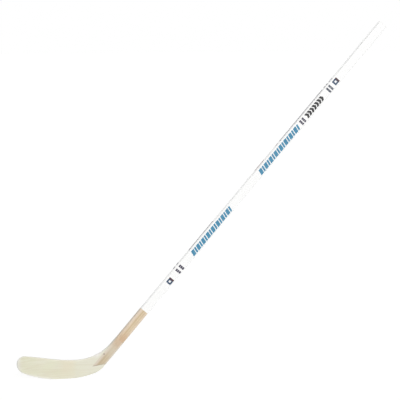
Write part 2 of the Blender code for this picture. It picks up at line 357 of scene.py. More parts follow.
def emboss(tree, shader, height, depth):
    """Makes a height pattern stand out by that many metres under the light."""
    bump = tree.nodes.new("ShaderNodeBump")
    bump.inputs["Strength"].default_value = 1.0
    bump.inputs["Distance"].default_value = depth
    tree.links.new(height, bump.inputs["Height"])
    tree.links.new(bump.outputs["Normal"], shader.inputs["Normal"])


print("Helpers for finishes: finish_of, cover and emboss")

# %% [markdown]
# ## Wood for the plies
#
# The shaft's core strips are aspen, its plies birch, and the blade ash. All
# three show the same things in different colours: broad bands of early and
# late wood, fine dark pores drawn out along the grain, and a darker look
# where a ply is sawn across at the butt. One recipe makes all three. The
# noise is solid, so on the sawn end the long streaks show as small dots, as
# they do in real end grain.

# %% Make the woods
BARE_END = BUTT - 0.6 * MM
SAWN_FACE = (BARE_END, BUTT - 0.2 * MM)
PORE_SHADE, FIBRE_RELIEF = 0.6, 0.08 * MM


def wood(name, pale, dark, band=200):
    look, tree, shader = finish_of(name)
    place = stick_place(tree)
    bands = noise(tree, place, (5, band, band), detail=2, wobble=0.4)
    fibre = noise(tree, place, (35, 1400, 1400), detail=2)
    pore = tuple(c * PORE_SHADE for c in dark)
    colour = blend(tree, fade(tree, bands, 0.35, 0.65), pale, dark)
    colour = blend(tree, fade(tree, fibre, 0.52, 0.72, 0.0, 0.35), colour, pore)
    colour = blend(tree, fade(tree, axes(tree, place)[0], *SAWN_FACE, 0.0, 0.4), colour, pore)
    cover(tree, shader, colour, fibre, glossy=0.5, dull=0.7)
    emboss(tree, shader, fibre, FIBRE_RELIEF)
    return look


WOODS = {
    "aspen": wood("aspen", srgb(226, 211, 182), srgb(208, 187, 152)),
    "birch": wood("birch", srgb(214, 192, 158), srgb(192, 165, 126), band=260),
    "ash": wood("ash", srgb(226, 216, 186), srgb(204, 188, 150), band=150),
}
print("Woods made:", ", ".join(WOODS))

# %% Give the plies their wood
PLIES = {
    "aspen": ["shaft_core_front", "shaft_core_back"],
    "birch": [
        "shaft_centre_ply", "shaft_ply_front", "shaft_ply_back", "shaft_facing_front", "shaft_facing_back"
    ],
    "ash": ["blade_core", "blade_face_front", "blade_face_back", "heel_wedge"],
}
for kind, names in PLIES.items():
    for name in names:
        wood_parts[name].material_slots[0].material = WOODS[kind]
    print(f"{kind}: {', '.join(names)}")

# %% [markdown]
# ## The blade's outline, drawn with a compass
#
# A stick's blade is drawn with large arcs that run smoothly into one another: a
# long rocker under the toe, a shorter one at the heel, a round at the toe and a
# fillet up to the shaft. The spin operator is the compass: it swings the last
# point about a centre and leaves a line of edges behind. The sock's inside has
# the same centres and other radii, so one function draws both, at any depth
# below the outside.

# %% Where the arcs are
GLUE, SOCK_WALL = 0.3 * MM, 0.7 * MM
WOOD_DEPTH = SOCK_WALL + GLUE
HEEL_X, HEEL_ROCKER, HEEL_ROUND = 15 * MM, 255 * MM, 75 * MM
SOLE_X, TOE_ROCKER = -12.4 * MM, 280 * MM
TOE_X, TOE_Z = -161 * MM, 66.2 * MM
TOE_LOW_ROUND, TOE_TOP_ROUND = 40 * MM, 23 * MM
TOP_Z, TOP_ROUND, TOP_SLOPE, FILLET = 62.5 * MM, 420 * MM, radians(11.6), 165 * MM
EDGE = SHAFT_WIDTH / 2 + WOOD_DEPTH


def heel_centre():
    """Centre of the heel's round: it touches the shaft's lower side and the heel rocker."""
    t = EDGE - HEEL_ROUND
    base = on_stick(0, t) - Vector((HEEL_X, 0, HEEL_ROCKER))
    b = base.dot(ALONG)
    c = base.dot(base) - (HEEL_ROCKER - HEEL_ROUND) ** 2
    return on_stick(-b - sqrt(b * b - c), t)


def fillet_centre():
    """Centre of the fillet: it touches the shaft's upper side and the lowest part of the top."""
    z = TOP_Z + FILLET
    return Vector((FOOT.x + (z * cos(LIE) - EDGE - FILLET) / sin(LIE), 0, z))


heel = heel_centre()
fillet = fillet_centre()
heel_turn = atan2(heel.z - HEEL_ROCKER, heel.x - HEEL_X)
toe_turn = atan2(TOE_Z - TOE_ROCKER, TOE_X + TOE_LOW_ROUND - SOLE_X)
print("Heel's round is centred on", [round(c, 4) for c in heel])


# %% A compass and a ruler
def swing(bm, last, centre, angle, steps):
    """Swings the outline's last point about a centre; a plus angle turns from the sole to the toe."""
    made = bmesh.ops.spin(bm, geom=[last], cent=centre, axis=(0, 1, 0), angle=angle, steps=steps)
    return next(g for g in made["geom_last"] if isinstance(g, bmesh.types.BMVert))


def line_to(bm, last, place):
    """Draws a straight line from the outline's last point."""
    made = bmesh.ops.extrude_vert_indiv(bm, verts=[last])["verts"][0]
    made.co = place
    return made


trial = bmesh.new()
swing(trial, trial.verts.new((0, 0, -1)), (0, 0, 0), pi / 2, steps=8)
print("A quarter swing of 8 steps draws", len(trial.edges), "edges")
trial.free()

# %% Draw the outline
SOCK_TOP, SPARE = 165 * MM, 20 * MM


def draw_outline(bm, depth):
    """The blade and the lowest part of the shaft, as one flat face."""
    edge, end = EDGE - depth, SOCK_TOP + SPARE
    start = heel + (HEEL_ROUND - depth) * ACROSS
    pen = bm.verts.new(start)
    pen = swing(bm, pen, heel, LIE - pi / 2 - heel_turn, steps=10)
    pen = swing(bm, pen, (HEEL_X, 0, HEEL_ROCKER), heel_turn + pi / 2, steps=12)
    pen = line_to(bm, pen, (SOLE_X, 0, depth))
    pen = swing(bm, pen, (SOLE_X, 0, TOE_ROCKER), -pi / 2 - toe_turn, steps=20)
    pen = swing(bm, pen, (TOE_X + TOE_LOW_ROUND, 0, TOE_Z), toe_turn + pi, steps=16)
    pen = swing(bm, pen, (TOE_X + TOE_TOP_ROUND, 0, TOE_Z), pi / 2 + TOP_SLOPE, steps=22)
    top = Vector((fillet.x, 0, TOP_Z + TOP_ROUND))
    slope = Vector((-sin(TOP_SLOPE), 0, -cos(TOP_SLOPE)))
    pen = line_to(bm, pen, top + (TOP_ROUND + depth) * slope)
    pen = swing(bm, pen, top, -TOP_SLOPE, steps=12)
    pen = swing(bm, pen, fillet, -LIE, steps=20)
    pen = line_to(bm, pen, on_stick(end, -edge))
    pen = line_to(bm, pen, on_stick(end, edge))
    first = min(bm.verts, key=lambda v: (v.co - start).length)
    bm.edges.new((pen, first))
    return bmesh.ops.contextual_create(bm, geom=bm.edges[:])["faces"][0]


trial = bmesh.new()
trial_face = draw_outline(trial, 0)
print(f"Outline has {len(trial.verts)} points and covers {trial_face.calc_area() / MM ** 2:.0f} mm2")
trial.free()

# %% [markdown]
# ## Planing and bending
#
# A blade isn't flat. The wood is full in the shaft, planed down to the blade
# and thinnest at the toe, and then the blade is bent in a hook towards the
# front. Both are rules for a place's new depth, so they work on any mesh with
# enough cuts in it.

# %% Thickness and hook
PLANE_LOW, PLANE_HIGH = 50 * MM, 212 * MM
HEEL_DEPTH, TOE_DEPTH, BLADE_END_X = 9.6 * MM, 5.2 * MM, 60 * MM
HOOK_START, HOOK_DEPTH, HOOK_POWER = 55 * MM, 41 * MM, 2.4


def part_way(value, low, high):
    return min(1.0, max(0.0, (value - low) / (high - low)))


def half_depth(x, z):
    """Half the wood's thickness at a place."""
    s = part_way(station(x, z)[0], PLANE_LOW, PLANE_HIGH)
    shaft = HEEL_DEPTH + (SHAFT_DEPTH - HEEL_DEPTH) * s * s * (3 - 2 * s)
    return (shaft - (HEEL_DEPTH - TOE_DEPTH) * part_way(-x, -BLADE_END_X, -TOE_X)) / 2


def hooked(x, y, z):
    """Bends a place with the blade, which curves more and more towards the toe."""
    reach = max(0.0, HOOK_START - x)
    length = HOOK_START - TOE_X
    middle = -HOOK_DEPTH * (reach / length) ** HOOK_POWER
    slope = HOOK_POWER * HOOK_DEPTH / length * (reach / length) ** (HOOK_POWER - 1)
    norm = sqrt(1 + slope * slope)
    return Vector((x - y * slope / norm, middle + y / norm, z))


print(f"Toe stands {-hooked(TOE_X, 0, TOE_Z).y / MM:.0f} mm to the front of the shaft")

# %% [markdown]
# ## From an outline to a sock
#
# The flat face is pulled to a plate, its rim is rounded with a bevel, and the
# plate is cut into narrow strips with bisect. The strips let it take its real
# shape. While the plate is still flat, each point notes how far round the rim
# it is, because the rim is given painted light and painted shade there. The
# outside and the lining are two such surfaces, bridged at the open end, where
# the cloth is feathered out on the shaft.


# %% Helpers for cutting and rounding
def whole(bm):
    """All that a bmesh holds."""
    return bm.verts[:] + bm.edges[:] + bm.faces[:]


def only_points(found):
    """The points among an operator's results."""
    return [g for g in found if isinstance(g, bmesh.types.BMVert)]


def cut(bm, place, across, clear=False):
    """Cuts every face where a plane crosses it, and clears what lies past the plane if asked."""
    bmesh.ops.bisect_plane(
        bm, geom=whole(bm), plane_co=place, plane_no=across, dist=1e-6, clear_outer=clear
    )


def round_off(bm, edges, radius):
    bmesh.ops.bevel(bm, geom=edges, offset=radius, affect="EDGES", segments=6, profile=0.5, material=-1)


print("Helpers for cutting: whole, only_points, cut and round_off")

# %% Make a thick plate of the outline
BLANK_HALF = SHAFT_DEPTH / 2 * (CORNER + WOOD_DEPTH) / CORNER


def rounded_plate(bm, depth, corner):
    """The outline as a thick plate with a round rim."""
    face = draw_outline(bm, depth)
    bmesh.ops.translate(bm, verts=face.verts[:], vec=(0, -BLANK_HALF, 0))
    far = only_points(bmesh.ops.extrude_face_region(bm, geom=[face])["geom"])
    bmesh.ops.translate(bm, verts=far, vec=(0, 2 * BLANK_HALF, 0))
    rim = [e for e in bm.edges if abs(e.verts[0].co.y - e.verts[1].co.y) < MM]
    end = SOCK_TOP + SPARE - MM
    rim = [e for e in rim if min(station(v.co.x, v.co.z)[0] for v in e.verts) < end]
    round_off(bm, rim, corner)


print(f"Before planing, the sock's plate is {2 * BLANK_HALF / MM:.1f} mm thick")

# %% Make one wall of the sock
BLADE_STRIP, SHAFT_STRIP = 5 * MM, 6 * MM
FEATHER_LENGTH = 18 * MM


def cut_in_strips(bm):
    """Strips across the blade and across the planed foot of the shaft, and a square open end."""
    for i in range(int((BLADE_END_X - TOE_X) / BLADE_STRIP) + 1):
        cut(bm, (BLADE_END_X - BLADE_STRIP * i, 0, 0), (1, 0, 0))
    for i in range(int((SOCK_TOP - PLANE_LOW) / SHAFT_STRIP)):
        cut(bm, on_stick(PLANE_LOW + SHAFT_STRIP * i, 0), ALONG)
    cut(bm, on_stick(SOCK_TOP, 0), ALONG, clear=True)


def sock_wall(bm, depth, feather):
    """One surface of the sock, open at its upper end, feather thinner there."""
    corner = CORNER + WOOD_DEPTH - depth
    rounded_plate(bm, depth, corner)
    cut_in_strips(bm)
    rim = bm.verts.layers.float.new("rim")
    for v in bm.verts:
        v[rim] = part_way(BLANK_HALF - abs(v.co.y), 0, corner)
        u, t = station(v.co.x, v.co.z)
        thin = feather * part_way(u, SOCK_TOP - FEATHER_LENGTH, SOCK_TOP)
        place = v.co - ACROSS * (t * thin / EDGE)
        half = half_depth(place.x, place.z) + WOOD_DEPTH - depth - thin
        v.co = hooked(place.x, v.co.y / BLANK_HALF * half, place.z)
    bmesh.ops.recalc_face_normals(bm, faces=bm.faces[:])


print(f"The sock thins out over its last {FEATHER_LENGTH / MM:.0f} mm")

# %% Helpers for finished pieces
SHARP_ANGLE = radians(35)
SORT_WAY = Vector((1, 0.61, 0.37))


def join(bm, other):
    """Adds another bmesh's faces to bm, and empties it."""
    carried = bpy.data.meshes.new("carried")
    other.to_mesh(carried)
    other.free()
    bm.from_mesh(carried)
    bpy.data.meshes.remove(carried)


def number_by_place(bm):
    """Sorts all elements by place, since Blender's cutters number them in no set order."""
    bm.verts.sort(key=lambda v: v.co.dot(SORT_WAY))
    bm.edges.sort(key=lambda e: (e.verts[0].co + e.verts[1].co).dot(SORT_WAY))
    bm.faces.sort(key=lambda f: f.calc_center_median().dot(SORT_WAY))


def piece(name, bm, look):
    """A finished object from a bmesh, riding on the stick."""
    number_by_place(bm)
    mesh = bpy.data.meshes.new(name)
    bm.to_mesh(mesh)
    bm.free()
    mesh.materials.append(look)
    made = bpy.data.objects.new(name, mesh)
    bpy.context.scene.collection.objects.link(made)
    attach(made, "root")
    print(f"{name}: {len(mesh.polygons)} faces")
    return made


def even_shading(made):
    """Smooth shading that keeps flat faces flat beside their rounded rims."""
    made.data.shade_smooth()
    made.data.set_sharp_from_angle(angle=SHARP_ANGLE)
    evener = made.modifiers.new("even_shading", "WEIGHTED_NORMAL")
    evener.keep_sharp = True


print("Helpers for pieces: join, number_by_place, piece and even_shading")

# %% Close the sock
FEATHER_LOSS = 0.55 * MM
sock = bmesh.new()
sock_wall(sock, 0, feather=FEATHER_LOSS)
lining = bmesh.new()
sock_wall(lining, SOCK_WALL, feather=0)
bmesh.ops.reverse_faces(lining, faces=lining.faces[:])
join(sock, lining)
bmesh.ops.bridge_loops(sock, edges=[e for e in sock.edges if e.is_boundary])
bmesh.ops.recalc_face_normals(sock, faces=sock.faces[:])
print("Open edges left in the sock:", sum(e.is_boundary for e in sock.edges))

# %% [markdown]
# ## Glass cloth in resin
#
# The sock is glass cloth soaked in resin, and it is clear enough for the wood
# to show through. A see-through shell would need light to pass through cloth,
# resin and glue. It is far simpler to paint on the sock what shows through it:
# the pale blade, the tan cheek of the shaft above the slanted splice, and then
# the cloth itself. Each soft border below is a pair of places: where it starts,
# and where it is done.
#
# The blade comes first. It is ash, with grain along the blade and broad yellow
# clouds, palest at the heel, with a faint pink cast beside it.

# %% The pale blade under the cloth
HEEL_PALE = (-20 * MM, 60 * MM)
PINK_START, PINK_END, PINK_HEIGHT = (-30 * MM, 5 * MM), (20 * MM, 45 * MM), (10 * MM, 50 * MM)


def pale_blade(tree, clouds):
    place = room_place(tree)
    x, _, z = axes(tree, place)
    grain = noise(tree, place, (7, 60, 190), detail=3, wobble=0.5)
    colour = blend(tree, fade(tree, grain, 0.3, 0.7), srgb(226, 224, 204), srgb(218, 213, 189))
    colour = blend(tree, fade(tree, clouds, 0.4, 0.7, 0.0, 0.5), colour, srgb(221, 222, 194))
    colour = blend(tree, fade(tree, x, *HEEL_PALE, 0.0, 0.35), colour, srgb(231, 229, 216))
    pink = product(tree, fade(tree, x, *PINK_START), fade(tree, x, *PINK_END, 1.0, 0.0))
    pink = product(tree, pink, fade(tree, z, *PINK_HEIGHT, 0.2, 0.6))
    return blend(tree, pink, colour, srgb(226, 217, 191))


print("Towards the heel the blade pales over", [round(x / MM) for x in HEEL_PALE], "mm")

# %% [markdown]
# Three things follow the sock's shape. The cloth is painted lighter where it
# wraps round the rim, as the mesh has noted at each point: painted light that
# lifts the rounded rim out of its shade. Up the shaft the upper rim is painted
# darker instead, a painted shade for the side that turns from the light. And
# the blade is paler along the sole, up to a few millimetres above the rocker.

# %% Rim and pale sole
RESIN_WHITE = srgb(238, 237, 228)
SHADE_RIM, SHADE_START, SHADE_SIDE = (0.2, 0.8), (112 * MM, 140 * MM), (0.0, 10 * MM)
SOLE_BAND_HEIGHT, SOLE_BAND_LENGTH = (2 * MM, 9 * MM), (-60 * MM, -30 * MM)


def rim_share(tree):
    rim = tree.nodes.new("ShaderNodeAttribute")
    rim.attribute_name = "rim"
    return rim.outputs["Fac"]


# Painted light: the rounded rim, which the lamps leave darker, is lifted towards white.
def lightened_rim(tree, colour):
    return blend(tree, fade(tree, rim_share(tree), 0.0, 0.7, 0.0, 0.6), colour, RESIN_WHITE)


# Painted shade: up the shaft the sock's upper rim is darkened, standing for the shade on the side that turns
# from the light.
def shaded_upper_rim(tree, colour):
    u, _, up = axes(tree, stick_place(tree))
    dark = product(tree, fade(tree, rim_share(tree), *SHADE_RIM), fade(tree, u, *SHADE_START))
    dark = product(tree, dark, fade(tree, up, *SHADE_SIDE, 0.0, 0.7))
    return blend(tree, dark, colour, srgb(160, 150, 134))


# The blade is painted paler along the sole, up to a few millimetres above the rocker, most towards the toe.
def paler_sole(tree, colour):
    x, _, z = axes(tree, room_place(tree))
    from_sole = maths(tree, "SUBTRACT", x, SOLE_X)
    rocker = product(tree, from_sole, from_sole, 0.5 / TOE_ROCKER)
    sole_band = fade(tree, maths(tree, "SUBTRACT", z, rocker), *SOLE_BAND_HEIGHT, 0.7, 0.0)
    sole_band = product(tree, sole_band, fade(tree, x, *SOLE_BAND_LENGTH, 1.0, 0.1))
    return blend(tree, sole_band, colour, srgb(240, 239, 230))


print(f"Scuffs reach {SOLE_BAND_HEIGHT[1] / MM:.0f} mm above the rocker")

# %% [markdown]
# Above the splice the cheek of the shaft shows through: tan wood, whose grain
# runs up the shaft. It is paler in the middle of the sock, warmer towards its
# end, and pale along its lower side. One small dark knot lies near the upper
# side.

# %% The tan cheek under the cloth
CHEEK_PALE, CHEEK_WARM = (85 * MM, 120 * MM), (122 * MM, 158 * MM)
CHEEK_LOW_SIDE = (-15 * MM, -8 * MM)
KNOT, KNOT_EDGE = (95.5 * MM, -6.5 * MM, 11.7 * MM), (1.2 * MM, 3.8 * MM)


def tan_cheek(tree):
    place = stick_place(tree)
    u, _, up = axes(tree, place)
    grain = noise(tree, place, (6, 200, 230), detail=3, wobble=0.3)
    colour = blend(tree, fade(tree, grain, 0.3, 0.7), srgb(207, 191, 162), srgb(192, 173, 141))
    colour = blend(tree, fade(tree, u, *CHEEK_PALE, 0.0, 0.55), colour, srgb(214, 203, 184))
    colour = blend(tree, fade(tree, u, *CHEEK_WARM, 0.0, 0.85), colour, srgb(206, 180, 151))
    return blend(tree, fade(tree, up, *CHEEK_LOW_SIDE, 0.8, 0.0), colour, srgb(228, 221, 208))


def knotted(tree, colour):
    from_knot = tree.nodes.new("ShaderNodeVectorMath")
    from_knot.operation = "DISTANCE"
    from_knot.inputs[1].default_value = KNOT
    tree.links.new(stick_place(tree), from_knot.inputs[0])
    amount = fade(tree, from_knot.outputs["Value"], *KNOT_EDGE, 0.75, 0.0)
    return blend(tree, amount, colour, srgb(132, 112, 96))


print(f"The knot lies {KNOT[0] / MM:.1f} mm up the shaft")

# %% [markdown]
# The splice is one slanted line across the shaft, drawn where it shows through
# the resin. Past it lies the cheek, with a dark seam along the line, deepest
# towards the upper side. The resin is milky over the cheek's upper half, and
# milkier still in the fillet, where it gathers while the sock is pulled on.

# %% The splice
SPLICE, SPLICE_SLOPE = 56.6 * MM, 1.145
SPLICE_EDGE, SHAFT_SIDE = (-1.5 * MM, 2.5 * MM), (12 * MM, 17 * MM)
SEAM_START, SEAM_END, SEAM_SIDE = (-2.5 * MM, 0.0), (0.0, 4 * MM), (-8 * MM, 8 * MM)
MILK_SIDE, MILK_END = (3 * MM, 15 * MM), (110 * MM, 160 * MM)
FILLET_SIDE, FILLET_START = (15 * MM, 27 * MM), (60 * MM, 80 * MM)


def spliced(tree, blade, cheek):
    u, _, up = axes(tree, stick_place(tree))
    slanted = maths(tree, "ADD", u, maths(tree, "MULTIPLY", up, SPLICE_SLOPE))
    past = maths(tree, "SUBTRACT", slanted, SPLICE)
    in_shaft = fade(tree, up, *SHAFT_SIDE, 1.0, 0.0)
    on_cheek = product(tree, fade(tree, past, *SPLICE_EDGE), in_shaft)
    colour = blend(tree, on_cheek, blade, cheek)
    milk = product(tree, fade(tree, up, *MILK_SIDE), fade(tree, u, *MILK_END, 1.0, 0.0), on_cheek)
    colour = blend(tree, product(tree, milk, 0.8), colour, srgb(226, 216, 204))
    gathered = product(tree, fade(tree, up, *FILLET_SIDE, 0.0, 0.6), fade(tree, u, *FILLET_START))
    colour = blend(tree, gathered, colour, srgb(244, 240, 238))
    seam = product(tree, fade(tree, past, *SEAM_START), fade(tree, past, *SEAM_END, 1.0, 0.0))
    seam = product(tree, seam, fade(tree, up, *SEAM_SIDE, 0.4, 0.85), in_shaft)
    return blend(tree, seam, colour, srgb(152, 132, 110))


print(f"The splice slants at {degrees(atan2(1, SPLICE_SLOPE)):.0f} degrees to the shaft")

# %% [markdown]
# On top lies the cloth. Long strands cross it at right angles, each way at 45
# degrees to the blade, and a few of them show white. At the toe the resin is
# thicker and hides the wood. At the upper end the strands fray out on the
# shaft, and the wood's colour comes through between them.

# %% The cloth over them
TOE_RESIN, RESIN_CLOUD = (TOE_X + 4 * MM, TOE_X + 22 * MM), 6 * MM
FRAYED, FRAY_LENGTH = (SOCK_TOP - 3 * MM, SOCK_TOP + 6 * MM), 8 * MM
WEAVE, WEAVE_RELIEF = 2.2 * MM, 0.05 * MM


def thick_toe(tree, colour, clouds):
    x = axes(tree, room_place(tree))[0]
    border = maths(tree, "ADD", x, maths(tree, "MULTIPLY", clouds, RESIN_CLOUD))
    return blend(tree, fade(tree, border, *TOE_RESIN, 0.6, 0.0), colour, srgb(229, 229, 224))


def cloth_strands(tree):
    ways = [noise(tree, room_place(tree), (90, 300, 1500), detail=2, turn=radians(a)) for a in (45, -45)]
    return maths(tree, "MAXIMUM", *ways)


def frayed_end(tree, colour, strands):
    u = axes(tree, stick_place(tree))[0]
    border = maths(tree, "ADD", u, maths(tree, "MULTIPLY", strands, FRAY_LENGTH))
    return blend(tree, fade(tree, border, *FRAYED, 0.0, 0.25), colour, srgb(220, 202, 178))


def weave_height(tree, strands):
    """Two waves that cross, and the strands on them."""
    x, _, z = axes(tree, room_place(tree))
    turns = 2 * pi / WEAVE / sqrt(2)
    waves = [maths(tree, "SINE", product(tree, maths(tree, way, x, z), turns)) for way in ("ADD", "SUBTRACT")]
    return maths(tree, "ADD", product(tree, *waves, 0.5), strands)


print(f"The weave repeats every {WEAVE / MM:.1f} mm")


# %% Make the glass cloth
def glass_cloth():
    look, tree, shader = finish_of("glass_cloth", coat=0.25, coat_roughness=0.2)
    clouds = noise(tree, room_place(tree), (16, 16, 30), detail=2)
    strands = cloth_strands(tree)
    blade = paler_sole(tree, lightened_rim(tree, pale_blade(tree, clouds)))
    colour = shaded_upper_rim(tree, knotted(tree, spliced(tree, blade, tan_cheek(tree))))
    colour = thick_toe(tree, colour, clouds)
    colour = blend(tree, fade(tree, strands, 0.6, 0.8, 0.0, 0.3), colour, RESIN_WHITE)
    colour = frayed_end(tree, colour, strands)
    cover(tree, shader, colour, clouds, glossy=0.32, dull=0.48)
    emboss(tree, shader, weave_height(tree, strands), WEAVE_RELIEF)
    return look


blade_sock = piece("blade_sock", sock, glass_cloth())
even_shading(blade_sock)
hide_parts("blade_sleeve")

# %% [markdown]
# ## Bare wood between the sock and the lacquer
#
# A stretch of 130 mm of the shaft is neither socked nor lacquered. There the
# wood is only sealed with a thin clear coat, and the layers show: tan facing
# and ply on the wide sides, and on the narrow sides the core between thin glue
# lines. The coat is a hollow rounded bar, slightly proud of the wood, that
# follows the planed taper and the butt's eased edge. It starts as a cube, which
# is easily stretched, bevelled and cut.

# %% A coat round the shaft
SKIN, EASING = 0.02 * MM, 0.75


def shaft_coat(low, high, step):
    """The inside of a coat round the shaft, in the stick's own axes, open at both ends."""
    bm = bmesh.new()
    bmesh.ops.create_cube(bm, size=1)
    bmesh.ops.scale(bm, verts=bm.verts, vec=(high - low, SHAFT_DEPTH, SHAFT_WIDTH))
    bmesh.ops.translate(bm, verts=bm.verts, vec=((low + high) / 2, 0, 0))
    ends = [f for f in bm.faces if abs(f.normal.x) > 0.5]
    bmesh.ops.delete(bm, geom=ends, context="FACES_ONLY")
    round_off(bm, [e for e in bm.edges if abs(e.verts[0].co.x - e.verts[1].co.x) > MM], CORNER)
    count = int((high - low) / step)
    for u in [low + (high - low) * i / count for i in range(1, count)] + [BUTT - BUTT_EDGE]:
        cut(bm, (u, 0, 0), (1, 0, 0))
    for v in bm.verts:
        at = on_stick(v.co.x, -v.co.z)
        skin = SKIN - EASING * max(0.0, v.co.x - (BUTT - BUTT_EDGE))
        ratio = (half_depth(at.x, at.z) + skin) / (SHAFT_DEPTH / 2)
        v.co = Vector((v.co.x, v.co.y * ratio, v.co.z * (1 + 2 * skin / SHAFT_WIDTH)))
    bmesh.ops.recalc_face_normals(bm, faces=bm.faces[:])
    return bm


def coat_piece(name, bm, thickness, look):
    """Turns a coat to the shaft's lean and gives it a wall."""
    bmesh.ops.transform(bm, matrix=STICK_AXES, verts=bm.verts)
    made = piece(name, bm, look)
    wall = made.modifiers.new("wall", "SOLIDIFY")
    wall.thickness = thickness
    wall.offset = 1
    even_shading(made)


print(f"A coat's inside lies {SKIN / MM:.2f} mm off the wood")

# %% [markdown]
# The sealed wood is painted in two steps. On the wide sides it is tan, paler
# towards both narrow sides and warmer beside the sock. On the narrow sides the
# core shows between its two plies, with a dark glue line at each joint.

# %% Colour the wide and the narrow sides
PALE_UPPER, PALE_LOWER = (3 * MM, 12 * MM), (-12 * MM, -6 * MM)
UPPER_START, LOWER_START = (150 * MM, 260 * MM), (155 * MM, 205 * MM)
WARM_END, WARM_SIDE, WARM_LOWER = (175 * MM, 215 * MM), (0.0, 12 * MM), (-15 * MM, -8 * MM)
NARROW_SIDE, CORE_EDGE = (13.6 * MM, 14.4 * MM), (7.4 * MM, 7.6 * MM)
GLUE_LINES, GLUE_EDGE = (1.15 * MM, 7.65 * MM, 9.35 * MM), (0.12 * MM, 0.3 * MM)


def wide_side(tree, place, bands):
    u, _, up = axes(tree, place)
    colour = blend(tree, fade(tree, bands, 0.3, 0.7), srgb(222, 203, 172), srgb(203, 180, 144))
    upper = product(tree, fade(tree, up, *PALE_UPPER, 0.0, 0.85), fade(tree, u, *UPPER_START, 0.5, 1.0))
    lower = product(tree, fade(tree, up, *PALE_LOWER, 0.65, 0.0), fade(tree, u, *LOWER_START))
    colour = blend(tree, maths(tree, "ADD", upper, lower), colour, srgb(234, 217, 199))
    warm = product(tree, fade(tree, u, *WARM_END, 0.85, 0.0), fade(tree, up, *WARM_SIDE, 1.0, 0.3))
    warm = product(tree, warm, fade(tree, up, *WARM_LOWER, 0.3, 1.0))
    return blend(tree, warm, colour, srgb(208, 176, 144))


def with_narrow_side(tree, place, bands, colour):
    _, depth, up = axes(tree, place)
    level = maths(tree, "ABSOLUTE", depth)
    narrow = fade(tree, maths(tree, "ABSOLUTE", up), *NARROW_SIDE)
    core = product(tree, fade(tree, level, *CORE_EDGE, 1.0, 0.0), narrow)
    core_wood = blend(tree, fade(tree, bands, 0.35, 0.65), srgb(218, 205, 186), srgb(204, 187, 164))
    colour = blend(tree, core, colour, core_wood)
    for line in GLUE_LINES:
        near = maths(tree, "ABSOLUTE", maths(tree, "SUBTRACT", level, line))
        glue = product(tree, fade(tree, near, *GLUE_EDGE, 0.5, 0.0), narrow)
        colour = blend(tree, glue, colour, srgb(138, 112, 84))
    return colour


print("Glue lines on a narrow side:", 2 * len(GLUE_LINES))

# %% Seal the bare wood
LACQUER_START = 294.8 * MM
SEAL_LAP, SEAL_UNDER_SOCK, SEAL_STEP = 10 * MM, 30 * MM, 5 * MM
SEAL_WALL, SEAL_RELIEF = 0.05 * MM, 0.05 * MM


def sealed_wood():
    look, tree, shader = finish_of("sealed_wood", coat=0.1, coat_roughness=0.3)
    place = stick_place(tree)
    bands = noise(tree, place, (4, 120, 260), detail=3, wobble=0.4)
    fibre = noise(tree, place, (30, 1300, 1300), detail=2)
    colour = with_narrow_side(tree, place, bands, wide_side(tree, place, bands))
    colour = blend(tree, fade(tree, fibre, 0.5, 0.72, 0.0, 0.4), colour, srgb(168, 136, 96))
    cover(tree, shader, colour, fibre, glossy=0.42, dull=0.6)
    emboss(tree, shader, fibre, SEAL_RELIEF)
    return look


seal = shaft_coat(SOCK_TOP - SEAL_UNDER_SOCK, LACQUER_START + SEAL_LAP, SEAL_STEP)
coat_piece("clear_seal", seal, SEAL_WALL, sealed_wood())

# %% [markdown]
# ## White lacquer
#
# Above the bare wood the whole shaft is sprayed white, over a masked, square
# edge. Lacquer is glossy, and the grain beneath still shows through it as very
# faint ripples. Dust lies in it. The narrow sides are painted a little greyer
# towards the butt, a painted shade for the sides that turn from the light. The
# coat runs over the butt's eased edge and stops just short of the sawn end.

# %% Lacquer the shaft
LACQUER_WALL, LACQUER_STEP = 0.09 * MM, 50 * MM
LACQUER_SHADE_SIDE, LACQUER_SHADE_LENGTH = (13.6 * MM, 14.6 * MM), (500 * MM, 1500 * MM)
RIPPLE_RELIEF = 0.012 * MM


def white_lacquer():
    look, tree, shader = finish_of("white_lacquer", coat=0.3, coat_roughness=0.08)
    place = stick_place(tree)
    u, _, up = axes(tree, place)
    ripples = noise(tree, place, (8, 160, 160), detail=2)
    dust = noise(tree, place, (250, 900, 900), detail=2)
    colour = blend(tree, fade(tree, ripples, 0.35, 0.65), srgb(254, 254, 253), srgb(252, 252, 251))
    colour = blend(tree, fade(tree, dust, 0.68, 0.78, 0.0, 0.15), colour, srgb(222, 220, 215))
    # Painted shade: both narrow sides are greyed, more and more towards the butt.
    narrow = fade(tree, maths(tree, "ABSOLUTE", up), *LACQUER_SHADE_SIDE)
    side_shade = product(tree, narrow, fade(tree, u, *LACQUER_SHADE_LENGTH, 0.0, 0.6))
    colour = blend(tree, side_shade, colour, srgb(226, 226, 226))
    cover(tree, shader, colour, ripples, glossy=0.2, dull=0.34)
    emboss(tree, shader, ripples, RIPPLE_RELIEF)
    return look


lacquer = shaft_coat(LACQUER_START, BARE_END, LACQUER_STEP)
coat_piece("lacquer_coat", lacquer, LACQUER_WALL, white_lacquer())

# %% [markdown]
# ## Printed marks
#
# The marks are screen-printed on the lacquer: a thin, slightly raised film of
# ink, in plain colours. Each mark is a thin plate set in the lacquer's surface,
# so its edge stays crisp at any distance. Bars start as a cube that is scaled
# and sheared, and frames as a four-sided circle with an inset. The same marks
# are on both wide sides, turned half round the shaft's axis.

# %% Make the ink
INK_TOP, INK_DEPTH = 0.03 * MM, 0.05 * MM
FRONT_FACE = -(SHAFT_DEPTH / 2 + SKIN + LACQUER_WALL)


def ink(name, colour, light):
    look, tree, shader = finish_of(name)
    place = stick_place(tree)
    patches = noise(tree, place, (60, 200, 200), detail=3)
    specks = noise(tree, place, (700, 1600, 1600), detail=1)
    mixed = blend(tree, fade(tree, patches, 0.35, 0.7), colour, light)
    mixed = blend(tree, fade(tree, specks, 0.72, 0.8, 0.0, 0.6), mixed, srgb(235, 236, 236))
    cover(tree, shader, mixed, patches, glossy=0.3, dull=0.45)
    return look


